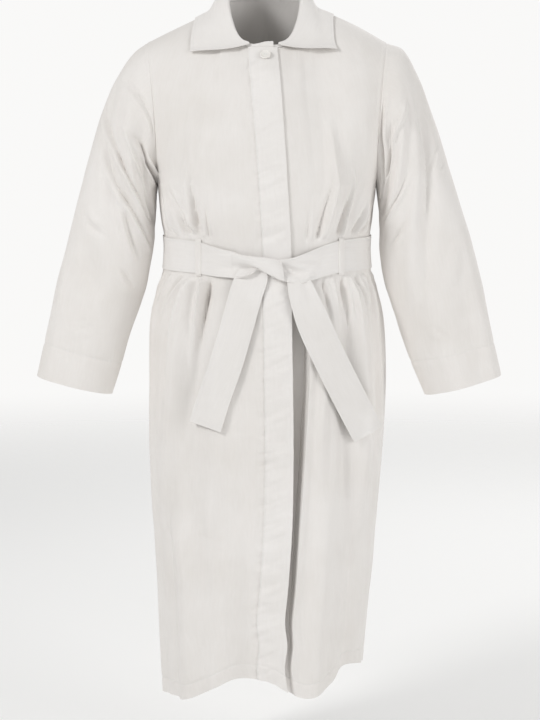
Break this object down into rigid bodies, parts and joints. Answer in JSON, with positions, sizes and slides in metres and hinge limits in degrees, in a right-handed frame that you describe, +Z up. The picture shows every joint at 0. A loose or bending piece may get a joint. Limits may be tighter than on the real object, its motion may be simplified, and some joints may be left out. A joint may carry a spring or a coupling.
{
  "type": "kittel",
  "caption": "Long white belted robe in its worn hollow form, with turned-down collar, covered front placket, long sleeves with deep hems and a tie belt knotted in front.",
  "frame": {"origin": "middle of the neck base, at the height where the shoulder seams reach the collar", "axes": "+Z up along the worn robe, -Y towards the front the wearer faces, +X towards the wearer's left"},
  "size_m": [0.8752, 0.3329, 1.3609],
  "materials": {
    "cloth": "matt plain-weave cotton",
    "belt": "matt plain-weave cotton, doubled",
    "button": "satin"
  },
  "bodies": {
    "root": {"front_right": "cloth", "front_left": "cloth", "back": "cloth", "placket": "cloth", "sleeve_right": "cloth", "sleeve_left": "cloth", "collar_stand": "cloth", "collar_leaf": "cloth", "belt_loop_right": "cloth", "belt_loop_left": "cloth", "belt_round": "belt", "belt_crossing": "belt", "belt_tail_right": "belt", "belt_tail_left": "belt", "button": "button"}
  },
  "joints": []
}
